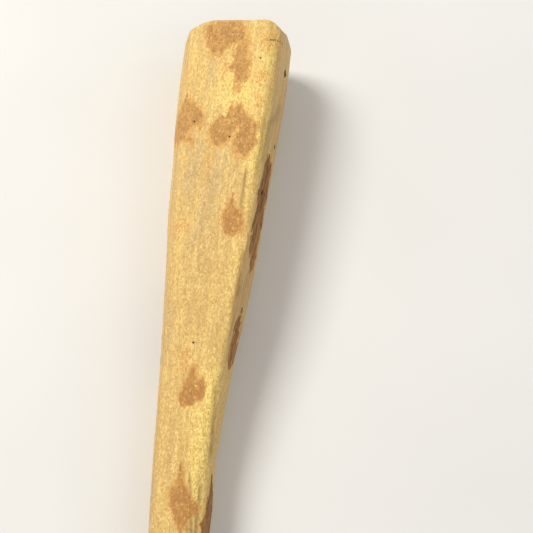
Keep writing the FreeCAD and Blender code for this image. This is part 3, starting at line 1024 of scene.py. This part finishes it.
def stained_knot():
    """A knot with a greenish stain."""
    g = Graph("stained_knot")
    rings = g.grain((2.2, 1.1, 1.1), 3, 0.6, 0.8)
    g.colour = g.between(rings, 0.38, 0.62, (70, 72, 52), (150, 132, 84))
    return g.finish(0.75, g.raised(rings, 0.0004), Specular_IOR_Level=0.3)


def wood_glue():
    """Dried amber glue."""
    g = Graph("wood_glue")
    drips = g.grain((9, 2, 2), 3, 0.6)
    g.colour = g.between(drips, 0.4, 0.65, (176, 122, 66), (206, 156, 92))
    return g.finish(0.4, g.raised(drips, 0.0001), Specular_IOR_Level=0.5)


def beeswax():
    """Honey-brown wax with smears and dirt."""
    g = Graph("beeswax")
    clouds = g.grain((14, 11, 11), 4, 0.5, 0.6)
    smears = g.grain((6, 3, 3), 4, 0.6, 1.0)
    dirt = g.grain((2.5, 2.5, 2.5), 4, 0.65)
    g.colour = g.between(clouds, 0.35, 0.65, (188, 128, 52), (218, 164, 82))
    g.tint(g.rise(smears, 0.5, 0.68, 0.5), 150, 96, 38)
    g.tint(g.rise(dirt, 0.6, 0.75, 0.6), 98, 64, 30)
    roughness = g.maths("ADD", g.rise(smears, 0.3, 0.7, 0.25), 0.32)
    normal = g.raised(smears, 0.0005)
    return g.finish(
        roughness, normal, Subsurface_Weight=0.25, Subsurface_Scale=0.004,
        Subsurface_Radius=(1.0, 0.5, 0.2), Specular_IOR_Level=0.5,
    )


def pale_floor():
    """Plain, matt and pale."""
    g = Graph("pale_floor")
    cloth = g.grain((300, 300, 300), 2)
    g.colour = g.between(cloth, 0.3, 0.7, (226, 225, 223), (230, 229, 227))
    return g.finish(0.9, g.raised(cloth, 0.0001))


PALE_WOOD = pale_wood()
half_wood("front_wood", 0, "tube_front_half", PALE_WOOD)
half_wood("back_wood", ANGLES // 2, "tube_back_half", PALE_WOOD)


# ---- the glue

GLUE_STEP = 0.003        # rows of the bead


def glue_strip(name, turn, node, material):
    """The glue in one seam, with an uneven bead where it was squeezed out."""
    x = np.arange(MOUTH_X + 0.002, RIM_X - RIM_ROUND, GLUE_STEP)
    angle = np.full_like(x, turn)
    x = shaped(x, angle)
    skin, base = carved_skin(x, angle)
    bead = 0.5 + 0.5 * noise(base / MM, (25, 400, 400), 31, 2)
    square = np.concatenate([[0.0], SQUARE])
    width = (0.00015 + 0.00025 * bead)[:, None] * square
    outward = np.concatenate([np.zeros((len(x), 1)), direction(angle)], axis=1)
    proud = (0.00004 + 0.00010 * bead)[:, None] * outward
    sunk = 0.0002 * outward
    inner = place(x, angle, sample(base_bore, x, angle) + 0.0004)
    thin = square * GLUE_GAP / 2
    loops = [
        skin - width - sunk, skin - width * 0.6 + proud, skin + width * 0.6 + proud,
        skin + width - sunk, inner + thin, inner - thin,
    ]
    count = len(loops)
    points = np.stack(loops, axis=1).reshape(-1, 3)
    faces = grid_faces(len(x), count, wrap=True)
    faces.append(tuple(range(count))[::-1])
    faces.append(tuple((len(x) - 1) * count + i for i in range(count)))
    make_piece(name, points, faces, material, node)


GLUE = wood_glue()
glue_strip("glue_bead_left", 0.0, "glue_line_left", GLUE)
glue_strip("glue_bead_right", math.pi, "glue_line_right", GLUE)


# ---- the knots

KNOT_PROUD = 0.0010      # how far a button's rim stands above the hollow round it
PEG = 0.006              # how deep its peg goes


def knot_piece(node, material, seed):
    """A dead knot: an uneven ringed button with a split, on a tapered peg."""
    centre, radius = knot_place(node)
    middle = np.concatenate([[centre[0]], centre_at(np.array([centre[0]]))[0]])
    out = (centre - middle) / np.linalg.norm(centre - middle)
    centre = centre + out * (relief(centre[None])[0] + KNOT_PROUD)
    along = np.array([1.0, 0.0, 0.0])
    side = np.cross(out, along)
    spokes, rings = 48, 14
    turn = np.arange(spokes) * 2 * math.pi / spokes
    points = [centre + out * -0.0008]
    for ring in range(1, rings + 1):
        part = ring / rings
        spread = np.stack([np.cos(turn) * 1.15, np.sin(turn)], axis=-1) * radius * part
        flat = centre + spread[:, :1] * along + spread[:, 1:] * side
        wobble = noise(flat / MM, (2.2, 2.2, 2.2), seed, 2)
        circles = 0.00015 * math.cos(part * 5 * math.pi)
        crack = -0.0009 * bump(turn, 2.2 + 0.4 * part, 0.18) * smooth(0.05, 0.4, part)
        height = -0.0006 + circles + 0.00025 * wobble - 0.0006 * part ** 6 + crack
        points += list(flat + out * height[:, None])
    points += [point - out * PEG for point in points[-spokes:]]
    points.append(centre - out * (PEG + 0.002))
    faces = [(0, 1 + i, 1 + (i + 1) % spokes) for i in range(spokes)]
    for row in range(rings):
        for i in range(spokes):
            a, b = 1 + row * spokes + i, 1 + row * spokes + (i + 1) % spokes
            faces.append((a, a + spokes, b + spokes, b))
    last = 1 + rings * spokes
    faces += [(last + (i + 1) % spokes, last + i, len(points) - 1) for i in range(spokes)]
    make_piece(node + "_button", points, faces, material, node)


KNOT_LOOK, STAINED_LOOK = knot_wood(), stained_knot()
for number, knot_name in enumerate(KNOTS):
    look = STAINED_LOOK if knot_name == "knot_stained" else KNOT_LOOK
    knot_piece(knot_name, look, 200 + number)


# ---- the bark

BARK_STEP = 0.0007       # the grid of a scrap
BARK_THICK = 0.00042
BARK_MARGIN = 0.012      # how far the grid goes past the CAD patch's ends
INNER_BARK, OUTER_BARK = inner_bark(), outer_bark()
DARK_SCRAPS = (
    "bark_strip_bell", "bark_strip_waist", "bark_strip_middle",
    "bark_mouth_right", "bark_back_left", "bark_mouth_left",
)


def touched_columns(field, count):
    """The columns of a grid all round the tube that a mark reaches, with two to spare."""
    columns = np.flatnonzero((field > -0.8).any(axis=0))
    first, last = columns[0], columns[-1]
    if last - first > count * 0.7:
        half = count // 2
        first = columns[columns > half][0]
        last = count + columns[columns < half][-1]
    return (first - 2 + np.arange(last - first + 5)) % count


def bark_patch(node):
    """A scrap of bark: a thin skin with a crumbling edge, closed underneath."""
    low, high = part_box(node)
    low_x, high_x = low[0] - BARK_MARGIN, min(high[0] + BARK_MARGIN, RIM_X - RIM_ROUND)
    middle_x = np.array([(low_x + high_x) / 2])
    reach = sample(base_outer, middle_x, np.array([1.5]))[0]
    x = np.arange(low_x, high_x, BARK_STEP)
    turn = np.arange(0, 2 * math.pi, BARK_STEP / reach)
    grid_x, grid_turn = np.meshgrid(x, turn, indexing="ij")
    grid_x = shaped(grid_x, grid_turn)
    field = bark_field(node, smooth_skin(grid_x, grid_turn))
    picked = touched_columns(field, len(turn))
    grid_x, grid_turn, field = grid_x[:, picked], grid_turn[:, picked], field[:, picked]
    crust = noise(smooth_skin(grid_x, grid_turn) / MM, (3.5, 2.2, 2.2), 51, 3)
    body = smooth(-0.5, 1.4, field)
    lift = BARK_THICK * (body * (0.85 + 0.4 * crust) - 0.35 * (1 - body))
    top = carved_skin(grid_x, grid_turn, lift)[0]
    under = carved_skin(grid_x, grid_turn, -0.0006)[0]
    keep = field > -0.6
    cells = keep[:-1, :-1] & keep[1:, :-1] & keep[1:, 1:] & keep[:-1, 1:]
    points, faces, used = closed_sheet(top, under, cells)
    edge = np.clip(field[used] / 4, 0, 1)
    towards_mouth = smooth(90, 260, spots(top[used])[0])
    shades = np.tile(np.stack([edge, towards_mouth, edge, edge], axis=-1), (2, 1))
    look = OUTER_BARK if node in DARK_SCRAPS else INNER_BARK
    make_piece(node + "_scrap", points, faces, look, node, {"edge": shades})


def closed_sheet(top, under, cells):
    """A top and an underside over the kept cells of a grid, and walls between."""
    rows, columns = top.shape[:2]
    used = np.zeros((rows, columns), bool)
    for row, column in ((0, 0), (0, 1), (1, 0), (1, 1)):
        used[row:rows - 1 + row, column:columns - 1 + column] |= cells
    total = int(used.sum())
    upper = -np.ones((rows, columns), int)
    upper[used] = np.arange(total)
    faces = []
    ways = ((-1, 0), (0, 1), (1, 0), (0, -1))
    for row, column in zip(*np.nonzero(cells)):
        ring = ((row, column), (row, column + 1), (row + 1, column + 1), (row + 1, column))
        ring = [int(upper[spot]) for spot in ring]
        faces.append(tuple(ring)[::-1])
        faces.append(tuple(corner + total for corner in ring))
        for side, (down, across) in enumerate(ways):
            beside = row + down, column + across
            inside = 0 <= beside[0] < rows - 1 and 0 <= beside[1] < columns - 1
            if inside and cells[beside]:
                continue
            a, b = ring[side], ring[(side + 1) % 4]
            faces.append((a, b, b + total, a + total))
    return np.concatenate([top[used], under[used]]), faces, used


for bark_name in BARK:
    bark_patch(bark_name)


# ---- the wax

WAX_BORE = 0.015         # the radius of the opening
WAX_LINING = 0.0174      # the radius where the wax ends inside the wood
WAX_LIP = 0.0045         # how round the end's two edges are


def wax_loops(low, high, heading):
    """Loops over the wax, from its skirt to the bore, and how many were pressed by hand."""
    axis = (low[1:] + high[1:]) / 2
    widest = (high[2] - low[2]) / 2
    end, edge = low[0], high[0]
    loops = []

    def loop(x, radius):
        flat = axis + np.asarray(radius)[..., None] * heading
        loops.append(np.concatenate([np.full((len(heading), 1), x), flat], axis=1))

    wood = wood_reach(edge - 0.001, axis, heading)
    skirt = np.maximum(wood + 0.0008, widest - 0.0022)
    for part in np.arange(13) / 12:
        reach = skirt + (widest - skirt) * smooth(0, 1, part)
        reach = reach - 0.0012 * (1 - smooth(0.0, 0.12, part))
        loop(edge + (end + WAX_LIP - edge) * part, reach)
    quarter = [step / 8 * math.pi / 2 for step in range(1, 9)]
    for angle in quarter:
        loop(end + WAX_LIP * (1 - math.sin(angle)), widest - WAX_LIP * (1 - math.cos(angle)))
    inner_start = WAX_BORE + WAX_LIP
    for step in range(1, 7):
        part = step / 6
        loop(end, widest - WAX_LIP + (inner_start - widest + WAX_LIP) * part)
    pressed = len(loops)
    for angle in quarter:
        loop(end + WAX_LIP * (1 - math.cos(angle)), WAX_BORE + WAX_LIP * (1 - math.sin(angle)))
    for step in range(1, 9):
        loop(end + WAX_LIP + (edge - end - WAX_LIP) * step / 8, WAX_BORE)
    loop(edge, WAX_LINING)
    loop(MOUTH_X - 0.0002, WAX_LINING)
    loop(MOUTH_X - 0.0002, wood - 0.0004)
    loop(edge, wood - 0.0004)
    return np.stack(loops), pressed


def wax_ring(node, material):
    """A hand-pressed ring of wax that wraps the end of the wood."""
    low, high = (np.array(corner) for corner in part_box(node))
    columns = 160
    turn = np.arange(columns) * 2 * math.pi / columns
    heading = np.stack([np.cos(turn), np.sin(turn)], axis=-1)
    grid, pressed = wax_loops(low, high, heading)
    outward = np.concatenate([np.zeros((columns, 1)), heading], axis=1)
    pocks = noise(grid / MM, (7, 7, 7), 81, 3)
    thumb = noise(grid / MM, (16, 13, 13), 82, 2)
    push = -0.0005 * np.abs(pocks) - 0.0007 * np.abs(thumb)
    push[pressed:] = 0
    grid = grid + push[..., None] * outward
    faces = grid_faces(len(grid), columns, wrap=True)
    last = (len(grid) - 1) * columns
    for column in range(columns):
        beside = (column + 1) % columns
        faces.append((last + column, last + beside, beside, column))
    make_piece("wax_ring", grid.reshape(-1, 3), faces, material, node)


def wood_reach(x, axis, heading):
    """How far the wood stands out from an axis, in each direction."""
    reach = []
    for way in heading:
        start = axis + 0.1 * way
        hit = wood_tree.ray_cast(Vector((x, *start)), Vector((0, *-way)))[0]
        reach.append(np.linalg.norm(np.array(hit)[1:] - axis))
    return np.array(reach)


wood_tree = BVHTree.FromPolygons(*mesh_arrays(WOOD), all_triangles=True)
wax_ring("wax_mouthpiece", beeswax())


# ---- floor, light, camera


def studio_floor():
    mesh = bpy.data.meshes.new("studio_floor")
    half = 25.0
    corners = [(-half, -half, 0), (half, -half, 0), (half, half, 0), (-half, half, 0)]
    mesh.from_pydata(corners, [], [(0, 1, 2, 3)])
    mesh.materials.append(pale_floor())
    add_to_scene("studio_floor", mesh)


def soft_light(name, at, target, size, power, colour=(1.0, 1.0, 1.0)):
    """A square lamp aimed at a target."""
    lamp = bpy.data.lights.new(name, "AREA")
    lamp.shape = "RECTANGLE"
    lamp.size, lamp.size_y = size, size
    lamp.energy = power
    lamp.color = colour
    thing = add_to_scene(name, lamp)
    thing.location = at
    aim = Vector(target) - Vector(at)
    thing.rotation_euler = aim.to_track_quat("-Z", "Y").to_euler()


def camera():
    """Looks down on the bell, a little from its end, with the tube leaning."""
    tilt, roll = math.radians(20.0), math.radians(7.6)
    across = Vector((0.0, -1.0, 0.0))
    upward = Vector((math.cos(tilt), 0.0, math.sin(tilt)))
    right = across * math.cos(roll) + upward * math.sin(roll)
    up = upward * math.cos(roll) - across * math.sin(roll)
    eye = bpy.data.cameras.new("camera")
    eye.sensor_width = 36.0
    eye.lens = 91.2
    eye.clip_end = 50
    thing = add_to_scene("camera", eye)
    turned = Matrix((right, up, right.cross(up))).transposed().to_4x4()
    thing.matrix_world = Matrix.Translation((-0.0211, -0.0580, 1.2424)) @ turned
    bpy.context.scene.camera = thing


def world():
    """Even, slightly warm light from all round."""
    sky = bpy.data.worlds.new("studio")
    sky.use_nodes = True
    background = sky.node_tree.nodes["Background"]
    background.inputs["Color"].default_value = (1.0, 0.98, 0.95, 1.0)
    background.inputs["Strength"].default_value = 0.47
    bpy.context.scene.world = sky


studio_floor()
world()
soft_light("key", (1.4, 2.0, 2.8), (0.6, 0, 0), 1.4, 104, (1.0, 0.97, 0.90))
soft_light("fill", (0.1, -3.2, 3.2), (0.3, 0, 0), 3.0, 32)
camera()
bpy.context.scene.view_settings.view_transform = "Standard"

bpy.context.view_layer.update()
